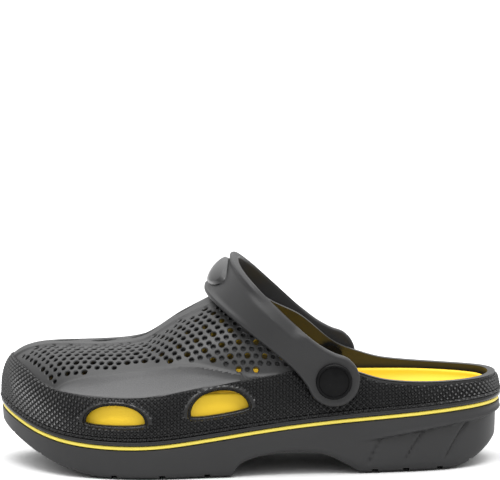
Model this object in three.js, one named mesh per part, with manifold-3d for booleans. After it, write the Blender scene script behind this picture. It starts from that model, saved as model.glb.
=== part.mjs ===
// Left rubber garden clog: a moulded upper with vents, an outsole with a through arch,
// a yellow foxing stripe between them, a cupped insole, and a heel strap that swings on
// two rivets. Millimetres: toe towards -X, outer side of the foot towards -Y, up +Z.
import * as THREE from 'three';
import { mergeVertices } from 'three/addons/utils/BufferGeometryUtils.js';
import Module from 'manifold-3d';

const wasm = await Module();
wasm.setup();

// ---- driving dimensions ----------------------------------------------------------------
const clogLength = 290; // toe tip to back of heel
const ballWidth = 117; // across the ball of the foot
const gap = 0.3; // between pieces that touch on the real clog
const wall = 4.5; // upper
const toeTop = 70.3; // top of the toe box
const instepTop = 105; // front of the foot opening
const rimHeight = 51.5; // heel collar
const heelStripe = 36; // height of the stripe at the heel
const ballStripe = 18; // height of the stripe at the ball of the foot
const toeStripe = 33; // height of the stripe at the toe tip
const stripeHeight = 2.2;
const stripeDepth = 4;
const stripeSet = 0.4; // how far the stripe stands back from the walls beside it
const toeSpring = 19; // rise of the tread at the toe
const heelBevel = 8; // rise of the tread at the back of the heel
const archHeight = 13.5;
const treadDepth = 3;
const treadWidth = 5;
const soleInset = 6; // how much smaller the tread is than the sole, all round
const insoleThickness = 6;
const insoleWall = 3;
const insoleFit = 0.9; // clearance between insole and upper
const insoleUnderRim = 4; // from collar down to the insole's edge
const cupHeight = 19; // insole wall over the stripe at the ball of the foot
const pivotHeight = 55; // rivet over the floor
const strapWidth = 22;
const strapCrownWidth = 26;
const strapThickness = 5.5;
const strapEndRadius = 14.9;
const strapAngle = 139.5; // of the lowered strap, from the back of the clog up and over
const strapLift = 1.2; // between strap and instep
const badgeLength = 57;
const badgeWidth = 18;
const badgeDome = 3.5;
const badgeSeat = 2; // depth of the badge's recess in the strap
const rivetCapRadius = 10.3;
const rivetCapHeight = 3;
const rivetShankRadius = 4;
const rivetFlangeRadius = 7;
const rivetFlangeHeight = 1.8;

// ---- plan outline at the stripe ---------------------------------------------------------
const halfLength = clogLength / 2;
const along = (share) => share * halfLength;
const stations = 44; // per side

// Both sides run from toe tip to heel, as shares of half the length and half the width.
const outerSide = [
  [-1, 0.24], [-0.93, -0.28], [-0.71, -0.82], [-0.43, -1], [-0.12, -0.89],
  [0.28, -0.72], [0.69, -0.58], [0.91, -0.29], [1, 0.18],
];
const innerSide = [
  [-1, 0.24], [-0.96, 0.5], [-0.8, 0.74], [-0.5, 0.875], [-0.1, 0.865],
  [0.37, 0.91], [0.69, 0.9], [0.93, 0.65], [1, 0.18],
];

function planRing() {
  const loop = [...outerSide, ...innerSide.slice(1, -1).reverse()];
  const points = loop.map(([x, y]) => new THREE.Vector3(x, y, 0));
  const curve = new THREE.CatmullRomCurve3(points, true, 'centripetal');
  const corner = (outerSide.length - 1) / loop.length; // where the heel lies on the curve
  const ring = [];
  for (let i = 0; i < 2 * stations; i += 1) {
    const share = (i % stations) / stations;
    const eased = share - Math.sin(2 * Math.PI * share) / 14; // closer together at the ends
    const t = i < stations ? eased * corner : corner + eased * (1 - corner);
    ring.push(curve.getPoint(t));
  }
  const box = new THREE.Box3().setFromPoints(ring);
  const size = box.getSize(new THREE.Vector3());
  const middle = box.getCenter(new THREE.Vector3());
  return ring.map((p) => new THREE.Vector2(
    ((p.x - middle.x) / size.x) * clogLength,
    ((p.y - middle.y) / size.y) * ballWidth,
  ));
}

const outline = planRing();

function insetRing(distance) {
  const count = outline.length;
  return outline.map((p, i) => {
    const before = outline[(i + count - 1) % count];
    const after = outline[(i + 1) % count];
    const tangent = after.clone().sub(before).normalize();
    return new THREE.Vector2(p.x - tangent.y * distance, p.y + tangent.x * distance);
  });
}

// A smooth height along the clog through a few points, each a share of half the length.
function profile(points) {
  return (x) => {
    const share = x / halfLength;
    const last = points.length - 1;
    if (share <= points[0][0]) return points[0][1];
    if (share >= points[last][0]) return points[last][1];
    const k = points.findIndex((p) => p[0] > share) - 1;
    const slope = (j) => {
      const a = points[Math.max(j - 1, 0)];
      const b = points[Math.min(j + 1, last)];
      return (b[1] - a[1]) / (b[0] - a[0]);
    };
    const [x0, z0] = points[k];
    const [x1, z1] = points[k + 1];
    const run = x1 - x0;
    const t = (share - x0) / run;
    const rest = 1 - t;
    return z0 * (1 + 2 * t) * rest * rest + z1 * t * t * (3 - 2 * t)
      + run * (slope(k) * t * rest * rest - slope(k + 1) * t * t * rest);
  };
}

const stripeLine = profile([
  [-1, toeStripe], [-0.85, ballStripe + 6], [-0.7, ballStripe + 1.5], [-0.5, ballStripe],
  [-0.3, ballStripe + 1.5], [0.16, heelStripe - 8], [0.7, heelStripe - 1.5], [1, heelStripe + 1],
]);
const topLine = profile([
  [-1, toeTop - 3], [-0.75, toeTop], [-0.55, toeTop + 1], [-0.42, toeTop + 5],
  [-0.27, instepTop - 16], [-0.035, instepTop], [0.15, instepTop + 6],
  [0.5, instepTop], [1, instepTop - 10],
]);
const fullness = profile([
  [-1, 3.4], [-0.7, 2.7], [-0.4, 2.25], [0, 2.1], [0.4, 1.8], [1, 1.6],
]);
const rimLine = [
  [-0.035, instepTop], [0.07, instepTop - 14], [0.2, rimHeight + 29], [0.33, rimHeight + 13],
  [0.42, rimHeight + 7], [0.55, rimHeight + 2], [0.8, rimHeight], [1.2, rimHeight + 1],
];
const rimAt = profile(rimLine);

// The clog's middle at x, half way between the two sides.
function sideAt(x, side) {
  const first = side < 0 ? 0 : stations;
  let near = outline[first];
  for (let i = first; i < first + stations; i += 1) {
    const a = outline[i];
    const b = outline[(i + 1) % outline.length];
    if ((a.x - x) * (b.x - x) <= 0 && a.x !== b.x) {
      near = a.clone().lerp(b, (x - a.x) / (b.x - a.x));
    }
  }
  return near.y;
}
const middleAt = (x) => (sideAt(x, -1) + sideAt(x, 1)) / 2;

// Where the ridge under an outline point lies: the ends are drawn in towards the middle.
const ridgeFront = along(-0.42);
const ridgeBack = along(0.45);
const ridgeDraw = 0.41;
function ridgeX(x) {
  const held = THREE.MathUtils.clamp(x, ridgeFront, ridgeBack);
  return held + (x - held) * ridgeDraw;
}

// A point of the upper's skin over one outline point: rise is 0 at the stripe, 1 at the top.
function skinPoint(base, foot, inset, rise) {
  const full = fullness(base.x);
  const draw = 1 - (1 - rise ** full) ** (1 / full);
  const x = ridgeX(base.x);
  const ridge = new THREE.Vector3(x, middleAt(x), topLine(x) - inset);
  const low = new THREE.Vector3(base.x, base.y, foot);
  return new THREE.Vector3(
    THREE.MathUtils.lerp(low.x, ridge.x, draw),
    THREE.MathUtils.lerp(low.y, ridge.y, draw),
    THREE.MathUtils.lerp(low.z, ridge.z, rise),
  );
}

// How far out the upper, or the face that lies inset within it, is at x and z on one side:
// -1 is the outer side of the foot, 1 the inner side.
function skinReach(x, z, side, inset = 0) {
  const foot = stripeLine(x);
  const rise = THREE.MathUtils.clamp((z - foot) / (topLine(x) - inset - foot), 0, 1);
  const full = fullness(x);
  const edge = sideAt(x, side) - side * inset;
  return THREE.MathUtils.lerp(middleAt(x), edge, (1 - rise ** full) ** (1 / full));
}

// ---- solids ------------------------------------------------------------------------------
// Joins rings of equal length, bottom to top. An open loft is capped by strips across it.
function loft(rings, closed = false) {
  const count = rings[0].length;
  const half = count / 2;
  const position = rings.flat().flatMap((p) => [p.x, p.y, p.z]);
  const index = [];
  const steps = closed ? rings.length : rings.length - 1;
  for (let k = 0; k < steps; k += 1) {
    const low = k * count;
    const high = ((k + 1) % rings.length) * count;
    for (let i = 0; i < count; i += 1) {
      const j = (i + 1) % count;
      index.push(low + i, low + j, high + j, low + i, high + j, high + i);
    }
  }
  const strip = (start, flip) => {
    for (let i = 0; i < half; i += 1) {
      const a = start + i;
      const b = start + i + 1;
      const c = start + ((count - i - 1) % count);
      const d = start + ((count - i) % count);
      const faces = [[a, b, c], [a, c, d]].filter((f) => new Set(f).size === 3);
      faces.forEach((f) => index.push(...(flip ? f.reverse() : f)));
    }
  };
  if (!closed) {
    strip(0, true);
    strip((rings.length - 1) * count, false);
  }
  const geometry = new THREE.BufferGeometry();
  geometry.setAttribute('position', new THREE.Float32BufferAttribute(position, 3));
  geometry.setIndex(index);
  return geometry;
}

function solid(geometry) {
  const bare = geometry.clone();
  bare.deleteAttribute('normal');
  bare.deleteAttribute('uv');
  const merged = mergeVertices(bare, 1e-4);
  return new wasm.Manifold(new wasm.Mesh({
    numProp: 3,
    vertProperties: new Float32Array(merged.attributes.position.array),
    triVerts: new Uint32Array(merged.index.array),
  }));
}

function geometryOf(manifold) {
  const mesh = manifold.getMesh();
  const geometry = new THREE.BufferGeometry();
  geometry.setAttribute('position', new THREE.BufferAttribute(mesh.vertProperties, 3));
  geometry.setIndex(new THREE.BufferAttribute(mesh.triVerts, 1));
  geometry.computeVertexNormals();
  return geometry;
}

// Extrudes a side outline (x along, y up) right across the clog.
function acrossClog(shape, segments = 8) {
  const depth = 2 * clogLength;
  const geometry = new THREE.ExtrudeGeometry(shape, { depth, bevelEnabled: false, curveSegments: segments });
  return geometry.rotateX(Math.PI / 2).translate(0, depth / 2, 0);
}

function cylinderAcross(radius, fromY, toY, x, z, sides = 32) {
  const length = Math.abs(toY - fromY);
  const geometry = new THREE.CylinderGeometry(radius, radius, length, sides);
  return geometry.translate(x, (fromY + toY) / 2, z);
}

const splineOf = (points) => points.map(([share, z]) => new THREE.Vector2(along(share), z));

// ---- outsole -----------------------------------------------------------------------------
const ballFlat = along(-0.54); // the tread is flat from here back to the heel bevel
const heelFlat = along(0.8);
function treadAt(x) {
  const front = Math.max(0, (ballFlat - x) / (ballFlat + halfLength - soleInset));
  const back = Math.max(0, (x - heelFlat) / (halfLength - soleInset - heelFlat));
  return toeSpring * front ** 2 + heelBevel * back ** 2;
}
const outsoleTop = (x) => stripeLine(x) - stripeHeight / 2 - gap;

function makeOutsole() {
  const levels = [[soleInset, 0], [soleInset / 3, 0.22], [0.4, 0.55], [0, 1]];
  const rings = levels.map(([inset, share]) => insetRing(inset).map((p) => {
    const low = treadAt(p.x);
    return new THREE.Vector3(p.x, p.y, THREE.MathUtils.lerp(low, outsoleTop(p.x), share));
  }));
  let sole = solid(loft(rings));
  const arch = new THREE.Shape();
  arch.moveTo(along(-0.062), -clogLength);
  arch.lineTo(along(-0.062), 0);
  arch.splineThru(splineOf([
    [-0.035, archHeight * 0.5], [0.05, archHeight * 0.86], [0.18, archHeight],
    [0.3, archHeight * 0.8], [0.37, archHeight * 0.42], [0.43, 0],
  ]));
  arch.lineTo(along(0.43), -clogLength);
  sole = sole.subtract(solid(acrossClog(arch, 5)));
  for (const share of [-0.94, -0.83, -0.7, -0.53, -0.34, 0.58, 0.75, 0.89]) {
    const x = along(share);
    const cut = new THREE.BoxGeometry(treadWidth, 2 * clogLength, 2 * treadDepth);
    sole = sole.subtract(solid(cut.translate(x, 0, treadAt(x))));
  }
  return geometryOf(sole);
}

// ---- stripe ------------------------------------------------------------------------------
function makeStripe() {
  const ring = (inset, side) => insetRing(inset).map((p) => (
    new THREE.Vector3(p.x, p.y, stripeLine(p.x) + (side * stripeHeight) / 2)));
  const inner = stripeSet + stripeDepth - gap;
  return loft([ring(stripeSet, -1), ring(stripeSet, 1), ring(inner, 1), ring(inner, -1)], true);
}

// ---- upper -------------------------------------------------------------------------------
const upperFoot = (x) => stripeLine(x) + stripeHeight / 2 + gap;
const riseRows = [0, 0.16, 0.32, 0.48, 0.62, 0.74, 0.84, 0.91, 0.96, 0.985, 0.997];

function skinRings(inset, foot) {
  const base = insetRing(inset);
  return riseRows.map((rise) => base.map((p) => skinPoint(p, foot(p.x), inset, rise)));
}

function collarCut() {
  const shape = new THREE.Shape();
  shape.moveTo(along(rimLine[0][0]), 2 * clogLength);
  shape.lineTo(along(rimLine[0][0]), rimLine[0][1]);
  shape.splineThru(splineOf(rimLine.slice(1)));
  shape.lineTo(along(1.2), 2 * clogLength);
  return solid(acrossClog(shape, 4));
}

// Vents along the ridge and on the inner side of the foot: place, size and turn in plan.
const topVents = [
  [-0.265, 2.5, 14, 9, 0], [-0.425, 2.5, 15.5, 7.9, 0], [-0.585, 5, 14.3, 7, 4],
  [-0.735, 10, 14.3, 7.9, 12], [-0.865, 20, 11.3, 7.3, 20],
  [-0.27, 33, 12, 7, -16], [-0.42, 33, 10.7, 5.8, 0], [-0.56, 34, 12.5, 6.7, 4],
  [-0.7, 39, 10.7, 5, 14],
];
// Half-moon vents low on the outer side: middle, flat lower edge, length, height and tilt.
const sideVents = [
  [-0.53, 30.5, 33.6, 11, 0], [-0.12, 36.5, 33, 13, 8],
];

function topVentCut([share, y, long, wide, turn]) {
  const shape = new THREE.Shape();
  shape.absellipse(0, 0, long / 2, wide / 2, 0, 2 * Math.PI);
  const depth = instepTop;
  const geometry = new THREE.ExtrudeGeometry(shape, { depth, bevelEnabled: false, curveSegments: 6 });
  const low = ballStripe + cupHeight + wall;
  return solid(geometry.rotateZ(THREE.MathUtils.degToRad(turn)).translate(along(share), y, low));
}

function sideVentCut([share, foot, long, high, tilt]) {
  const shape = new THREE.Shape();
  shape.absellipse(0, 0, long / 2, high, 0, Math.PI);
  const depth = ballWidth / 2;
  const geometry = new THREE.ExtrudeGeometry(shape, { depth, bevelEnabled: false, curveSegments: 8 });
  geometry.rotateZ(THREE.MathUtils.degToRad(tilt)).rotateX(Math.PI / 2);
  return solid(geometry.translate(along(share), -ballWidth / 6, foot));
}

function makeUpper() {
  const cavityFoot = (x) => stripeLine(x) - stripeHeight;
  let shell = solid(loft(skinRings(0, upperFoot)));
  for (const side of [-1, 1]) {
    const face = strapFace(side) - side * gap;
    shell = shell.add(solid(cylinderAcross(bossRadius, 0, face, pivotX, pivotHeight)));
  }
  shell = shell.subtract(solid(loft(skinRings(wall, cavityFoot))));
  shell = shell.subtract(collarCut());
  const bore = cylinderAcross(rivetShankRadius + gap, -ballWidth, ballWidth, pivotX, pivotHeight, 20);
  shell = shell.subtract(solid(bore));
  for (const vent of topVents) shell = shell.subtract(topVentCut(vent));
  for (const vent of sideVents) shell = shell.subtract(sideVentCut(vent));
  return geometryOf(shell);
}

// ---- insole ------------------------------------------------------------------------------
// The cup's edge stays under the collar and under the rivets' inner flanges.
function cupEdge(x) {
  const underRim = rimAt(Math.max(x, along(rimLine[0][0]))) - insoleUnderRim;
  const underRivets = pivotHeight - rivetFlangeRadius - 1;
  return Math.min(stripeLine(x) + cupHeight, underRim, underRivets);
}

function makeInsole() {
  const ringAt = (inset, height) => insetRing(inset).map((p) => {
    const foot = stripeLine(p.x);
    const rise = Math.max(0, (height(p.x) - foot) / (topLine(ridgeX(p.x)) - inset - foot));
    const q = skinPoint(p, foot, inset, rise);
    return new THREE.Vector3(q.x, q.y, height(p.x));
  });
  const outer = wall + insoleFit;
  const underside = (x) => outsoleTop(x) + gap;
  const floor = (x) => underside(x) + insoleThickness;
  const halfWay = (x) => (floor(x) + cupEdge(x)) / 2;
  return loft([
    ringAt(outer + 1, underside), ringAt(outer, floor), ringAt(outer, halfWay), ringAt(outer, cupEdge),
    ringAt(outer + insoleWall, cupEdge), ringAt(outer + insoleWall + 1, halfWay),
    ringAt(outer + insoleWall + 7, floor),
  ]);
}

// ---- strap, badge and rivets -------------------------------------------------------------
const pivotX = along(0.325);
const bossRadius = 12;
const strapTilt = THREE.MathUtils.degToRad(strapAngle);

// The strap is drawn lying back along +X: reach from the pivot, then turned up to its angle.
function strapPlace(reach, offset) {
  return new THREE.Vector2(
    pivotX + reach * Math.cos(strapTilt) + offset * Math.sin(strapTilt),
    pivotHeight + reach * Math.sin(strapTilt) - offset * Math.cos(strapTilt),
  );
}

const legLength = 34; // straight part of each leg, from the pivot

// Inner face of each leg: outside the upper wherever the leg lies on it.
function strapFace(side) {
  let face = 0;
  for (let reach = -strapEndRadius; reach <= legLength; reach += 4) {
    for (let offset = -strapEndRadius; offset <= strapEndRadius; offset += 5) {
      const p = strapPlace(reach, offset);
      face = Math.max(face, side * skinReach(p.x, p.y, side));
    }
  }
  return side * (face + gap);
}

const strapMiddle = (strapFace(-1) + strapFace(1)) / 2;
const legHalf = (strapFace(1) - strapFace(-1)) / 2;
const squareness = 2.7; // of the arch: 2 is an ellipse

// Whether an arch of this reach stays outside the upper, over the strap's whole width.
function archClears(reach) {
  for (let far = legLength; far <= reach; far += 1) {
    const share = (far - legLength) / (reach - legLength);
    const spread = legHalf * (1 - share ** squareness) ** (1 / squareness);
    for (const offset of [-strapCrownWidth / 2, 0, strapCrownWidth / 2]) {
      const p = strapPlace(far, offset);
      const open = p.y > topLine(p.x) || (p.x > along(rimLine[0][0]) && p.y > rimAt(p.x));
      for (const side of [-1, 1]) {
        const skin = side * (skinReach(p.x, p.y, side) - strapMiddle);
        if (!open && skin + gap > spread) return false;
      }
    }
  }
  return true;
}

// Inner reach of the crown: just over the instep.
function crownReach() {
  let reach = legLength + strapCrownWidth / 2;
  while (!archClears(reach)) reach += 0.25;
  return reach + strapLift;
}

const crown = crownReach();

// Turns a geometry drawn with reach on x, span on y and width on z into the lowered strap.
function layStrap(geometry) {
  return geometry.rotateY(-strapTilt).translate(pivotX, strapMiddle, pivotHeight);
}

// The strap's arch from leg to leg, extra millimetres outside its inner face.
function archPoints(extra) {
  const steps = 28;
  return Array.from({ length: steps + 1 }, (_, i) => {
    const turn = Math.PI * (i / steps - 0.5);
    const rise = Math.abs(Math.cos(turn)) ** (2 / squareness);
    const spread = Math.sign(turn) * Math.abs(Math.sin(turn)) ** (2 / squareness);
    return new THREE.Vector2(
      legLength + (crown - legLength + extra) * rise,
      (legHalf + extra) * spread,
    );
  });
}

// Extrudes an outline of reach and span to both sides of the strap's middle.
function overWidth(points) {
  const depth = 2 * strapCrownWidth;
  const shape = new THREE.Shape(points);
  const geometry = new THREE.ExtrudeGeometry(shape, { depth, bevelEnabled: false });
  return solid(geometry.translate(0, 0, -depth / 2));
}

function strapBand() {
  const end = -strapEndRadius - 1;
  const leg = legHalf + strapThickness;
  return overWidth([
    new THREE.Vector2(end, -leg), ...archPoints(strapThickness), new THREE.Vector2(end, leg),
    new THREE.Vector2(end, legHalf), ...archPoints(0).reverse(), new THREE.Vector2(end, -legHalf),
  ]);
}

// Side silhouette of the strap: round ends at the rivets, a waist, and a wider crown.
function strapSilhouette() {
  const shape = new THREE.Shape();
  const far = crown + strapThickness + 5;
  const neck = Math.asin(strapWidth / 2 / strapEndRadius);
  shape.moveTo(far, -strapCrownWidth / 2);
  shape.lineTo(far, strapCrownWidth / 2);
  shape.lineTo(crown - 12, strapCrownWidth / 2);
  shape.lineTo(legLength + 8, strapWidth / 2);
  shape.absarc(0, 0, strapEndRadius, neck, 2 * Math.PI - neck, false);
  shape.lineTo(legLength + 8, -strapWidth / 2);
  shape.lineTo(crown - 12, -strapCrownWidth / 2);
  return solid(acrossClog(shape, 24));
}

const badgeReach = crown + strapThickness - badgeSeat;

function badgeSolid(grow, low, high) {
  const shape = new THREE.Shape();
  shape.absellipse(0, 0, badgeWidth / 2 + grow, badgeLength / 2 + grow, 0, 2 * Math.PI);
  const depth = high - low;
  const geometry = new THREE.ExtrudeGeometry(shape, { depth, bevelEnabled: false, curveSegments: 16 });
  return solid(geometry.rotateY(Math.PI / 2).translate(low, 0, 0));
}

function makeStrap() {
  let strap = strapBand().intersect(strapSilhouette());
  strap = strap.subtract(badgeSolid(gap, badgeReach - gap, badgeReach + 30));
  const bore = cylinderAcross(rivetShankRadius + gap, -clogLength, clogLength, 0, 0, 20);
  strap = strap.subtract(solid(bore));
  return layStrap(geometryOf(strap));
}

// The badge is a blank convex oval pad that follows the crown's curve from end to end.
function makeBadge() {
  const pad = badgeSolid(0, badgeReach, crown + strapThickness + 2 * badgeDome);
  return layStrap(geometryOf(pad.intersect(overWidth(archPoints(strapThickness + badgeDome)))));
}

// Rivet profiles are drawn from the axis outwards, heights growing away from the foot.
function rivetPlace(geometry, side) {
  const turned = side > 0 ? geometry : geometry.rotateX(Math.PI);
  return turned.translate(pivotX, 0, pivotHeight);
}

const lathe = (points, sides) => new THREE.LatheGeometry(points.map(([r, h]) => new THREE.Vector2(r, h)), sides);

function makeRivetCap(side) {
  const seat = Math.abs(strapFace(side)) + strapThickness + gap;
  const socket = rivetShankRadius + gap;
  return rivetPlace(lathe([
    [0, seat + rivetCapHeight * 0.5], [socket, seat + rivetCapHeight * 0.5], [socket, seat],
    [rivetCapRadius, seat], [rivetCapRadius, seat + rivetCapHeight * 0.6],
    [rivetCapRadius - 1.2, seat + rivetCapHeight * 0.9], [rivetCapRadius / 2, seat + rivetCapHeight],
    [0, seat + rivetCapHeight],
  ], 36), side);
}

function makeRivetStud(side) {
  const edges = [-rivetFlangeRadius, 0, rivetFlangeRadius].map((shift) => (
    side * skinReach(pivotX + shift, pivotHeight + rivetFlangeRadius, side, wall)));
  const back = Math.min(...edges) - 3 * gap;
  const tip = Math.abs(strapFace(side)) + strapThickness + rivetCapHeight * 0.5;
  return rivetPlace(lathe([
    [0, back - rivetFlangeHeight], [rivetFlangeRadius, back - rivetFlangeHeight],
    [rivetFlangeRadius, back], [rivetShankRadius, back], [rivetShankRadius, tip], [0, tip],
  ], 24), side);
}

// ---- assembly ----------------------------------------------------------------------------
const rubber = { color: 0x3d3d3d, roughness: 0.6, metalness: 0 };
const materials = {
  rubber: new THREE.MeshStandardMaterial(rubber),
  tread: new THREE.MeshStandardMaterial({ ...rubber, color: 0x343434 }),
  yellow: new THREE.MeshStandardMaterial({ color: 0xe8d746, roughness: 0.5, metalness: 0 }),
  foam: new THREE.MeshStandardMaterial({ color: 0xfdd714, roughness: 0.8, metalness: 0 }),
  gloss: new THREE.MeshStandardMaterial({ color: 0x121212, roughness: 0.15, metalness: 0 }),
};

const clog = new THREE.Group();
function addPiece(name, geometry, material) {
  const mesh = new THREE.Mesh(geometry, material);
  mesh.name = name;
  clog.add(mesh);
}

addPiece('outsole', makeOutsole(), materials.tread);
addPiece('foxing_stripe', makeStripe(), materials.yellow);
addPiece('upper_shell', makeUpper(), materials.rubber);
addPiece('insole', makeInsole(), materials.foam);
addPiece('heel_strap', makeStrap(), materials.rubber);
addPiece('strap_badge', makeBadge(), materials.gloss);
for (const [side, name] of [[-1, 'outer'], [1, 'inner']]) {
  addPiece(`rivet_cap_${name}`, makeRivetCap(side), materials.gloss);
  addPiece(`rivet_stud_${name}`, makeRivetStud(side), materials.gloss);
}

// The origin is the middle of the clog's footprint, on the floor.
const middle = new THREE.Box3().setFromObject(clog).getCenter(new THREE.Vector3());
clog.position.set(-middle.x, -middle.y, 0);

export default clog;
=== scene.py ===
import math
import bmesh
import bpy
import numpy as np
from mathutils import Matrix, Vector
from mathutils.bvhtree import BVHTree


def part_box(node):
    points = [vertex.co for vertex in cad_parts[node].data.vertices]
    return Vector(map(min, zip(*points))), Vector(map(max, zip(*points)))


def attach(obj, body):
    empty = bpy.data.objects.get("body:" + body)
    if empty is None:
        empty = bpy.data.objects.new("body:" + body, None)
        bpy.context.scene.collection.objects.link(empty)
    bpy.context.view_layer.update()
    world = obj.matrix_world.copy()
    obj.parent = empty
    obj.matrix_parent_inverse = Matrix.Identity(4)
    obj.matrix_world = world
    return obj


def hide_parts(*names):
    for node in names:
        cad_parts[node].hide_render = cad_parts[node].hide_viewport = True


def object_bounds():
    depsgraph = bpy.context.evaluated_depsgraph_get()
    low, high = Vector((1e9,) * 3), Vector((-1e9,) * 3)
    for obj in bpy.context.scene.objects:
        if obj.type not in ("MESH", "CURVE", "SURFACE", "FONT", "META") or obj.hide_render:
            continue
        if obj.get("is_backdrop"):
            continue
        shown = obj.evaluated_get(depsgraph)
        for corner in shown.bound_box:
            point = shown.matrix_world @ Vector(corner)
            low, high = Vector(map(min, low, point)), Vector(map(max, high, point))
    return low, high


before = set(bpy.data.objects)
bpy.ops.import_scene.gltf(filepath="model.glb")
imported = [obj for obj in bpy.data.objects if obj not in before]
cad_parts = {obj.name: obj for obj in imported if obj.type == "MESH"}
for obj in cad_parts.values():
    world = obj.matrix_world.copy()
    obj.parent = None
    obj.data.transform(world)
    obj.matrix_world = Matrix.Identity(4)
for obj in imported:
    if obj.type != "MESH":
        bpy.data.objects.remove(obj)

cad_low, cad_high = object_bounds()

# ------------ outsole
# The sole is one block of moulded foam with a raised toe, an arch that passes right
# across under the waist, a stepped heel block with three slanting grooves each side,
# and zigzag channels in the tread. The upper is bonded to its edge over the stripe.
MM = 0.001
sole_low, sole_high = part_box("outsole")
half_length = (sole_high.x - sole_low.x) / 2
ball_width = sole_high.y - sole_low.y
plan_middle = (sole_low.y + sole_high.y) / 2
outer_side = [
    (-1, 0.24), (-0.93, -0.28), (-0.71, -0.82), (-0.43, -1), (-0.12, -0.89),
    (0.28, -0.72), (0.69, -0.58), (0.91, -0.29), (1, 0.18),
]
inner_side = [
    (-1, 0.24), (-0.96, 0.5), (-0.8, 0.74), (-0.5, 0.875), (-0.1, 0.865),
    (0.37, 0.91), (0.69, 0.9), (0.93, 0.65), (1, 0.18),
]


def plan_curve(steps=160):
    """The last's outline in plan: a smooth closed curve through both sides' points."""
    points = np.array(outer_side + inner_side[-2:0:-1], float)
    curve = []
    for i in range(len(points)):
        p = [points[(i + k) % len(points)] for k in (-1, 0, 1, 2)]
        d = [np.linalg.norm(p[k + 1] - p[k]) ** 0.5 for k in range(3)]
        slope = [
            ((p[k + 1] - p[k]) / d[k] - (p[k + 2] - p[k]) / (d[k] + d[k + 1])
             + (p[k + 2] - p[k + 1]) / d[k + 1]) * d[1]
            for k in (0, 1)
        ]
        t = np.linspace(0, 1, steps, endpoint=False)[:, None]
        curve.append(
            p[1] + slope[0] * t + (3 * (p[2] - p[1]) - 2 * slope[0] - slope[1]) * t**2
            + (2 * (p[1] - p[2]) + slope[0] + slope[1]) * t**3
        )
    curve = np.vstack(curve)
    low, high = curve.min(0), curve.max(0)
    size = np.array([2 * half_length, ball_width])
    return (curve - (low + high) / 2) / (high - low) * size + (0, plan_middle)


plan = plan_curve()
toe_at, heel_at = plan[:, 0].argmin(), plan[:, 0].argmax()
plan = np.roll(plan, -toe_at, axis=0)
heel_at = (heel_at - toe_at) % len(plan)
outer_plan = plan[: heel_at + 1]
inner_plan = np.vstack([plan[heel_at:], plan[:1]])[::-1]


def side_y(x, side):
    """How far out the outline is at x: side -1 is the outer side of the foot."""
    line = outer_plan if side < 0 else inner_plan
    return np.interp(x, line[:, 0], line[:, 1])


def middle_y(x):
    return (side_y(x, -1) + side_y(x, 1)) / 2


def paired_ring(count):
    """Points round the outline, the same places along on both sides, toe tip first."""
    x = -np.cos(np.linspace(0, np.pi, count + 1)) * half_length
    outer = np.c_[x, side_y(x, -1)]
    inner = np.c_[x, side_y(x, 1)][-2:0:-1]
    return np.vstack([outer, inner])


def even_ring(count):
    """Points round the outline at even steps, toe tip first."""
    closed = np.vstack([plan, plan[:1]])
    run = np.r_[0, np.cumsum(np.linalg.norm(np.diff(closed, axis=0), axis=1))]
    at = np.linspace(0, run[-1], count, endpoint=False)
    return np.c_[np.interp(at, run, closed[:, 0]), np.interp(at, run, closed[:, 1])]


def inset(ring, distance):
    """The ring drawn in square to itself, by one distance or one for each point."""
    tangent = np.roll(ring, -1, axis=0) - np.roll(ring, 1, axis=0)
    tangent /= np.linalg.norm(tangent, axis=1)[:, None]
    square = np.c_[-tangent[:, 1], tangent[:, 0]]
    return ring + square * np.broadcast_to(distance, len(ring))[:, None]


def profile(points):
    """A smooth height along the clog through points of (share of half length, mm)."""
    x = np.array([p[0] for p in points]) * half_length
    z = np.array([p[1] for p in points]) * MM
    last = len(x) - 1
    before = np.maximum(np.arange(last + 1) - 1, 0)
    after = np.minimum(np.arange(last + 1) + 1, last)
    slope = (z[after] - z[before]) / (x[after] - x[before])

    def height(at):
        k = np.clip(np.searchsorted(x, at, side="right") - 1, 0, last - 1)
        run = x[k + 1] - x[k]
        t = np.clip((at - x[k]) / run, 0, 1)
        rest = 1 - t
        return (z[k] * (1 + 2 * t) * rest**2 + z[k + 1] * t * t * (3 - 2 * t)
                + run * (slope[k] * t * rest**2 - slope[k + 1] * t * t * rest))

    return height


def ease(value, low, high):
    """0 below low, 1 above high, and a smooth step between them."""
    t = np.clip((value - low) / (high - low), 0, 1)
    return t * t * (3 - 2 * t)


def rows_mesh(rows, wrap=False):
    """A bmesh grid laid on rows of ringed points and closed round each ring."""
    rows = list(rows) + ([rows[0]] if wrap else [])
    around = len(rows[0])
    bm = bmesh.new()
    bmesh.ops.create_grid(bm, x_segments=around, y_segments=len(rows) - 1, size=1)
    places = np.concatenate([np.vstack([row, row[:1]]) for row in rows])
    for vert, place in zip(bm.verts, places):
        vert.co = place
    bmesh.ops.remove_doubles(bm, verts=bm.verts, dist=1e-6)
    bmesh.ops.dissolve_degenerate(bm, edges=bm.edges, dist=1e-7)
    return bm


def add_piece(name, bm, finish=None, smooth=35):
    """Turns a bmesh into an object with its finish, smooth but for its sharp edges."""
    mesh = bpy.data.meshes.new(name)
    bm.to_mesh(mesh)
    bm.free()
    mesh.polygons.foreach_set("use_smooth", [True] * len(mesh.polygons))
    mesh.set_sharp_from_angle(angle=math.radians(smooth))
    piece = bpy.data.objects.new(name, mesh)
    bpy.context.scene.collection.objects.link(piece)
    if finish:
        mesh.materials.append(finish)
    return piece


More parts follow.
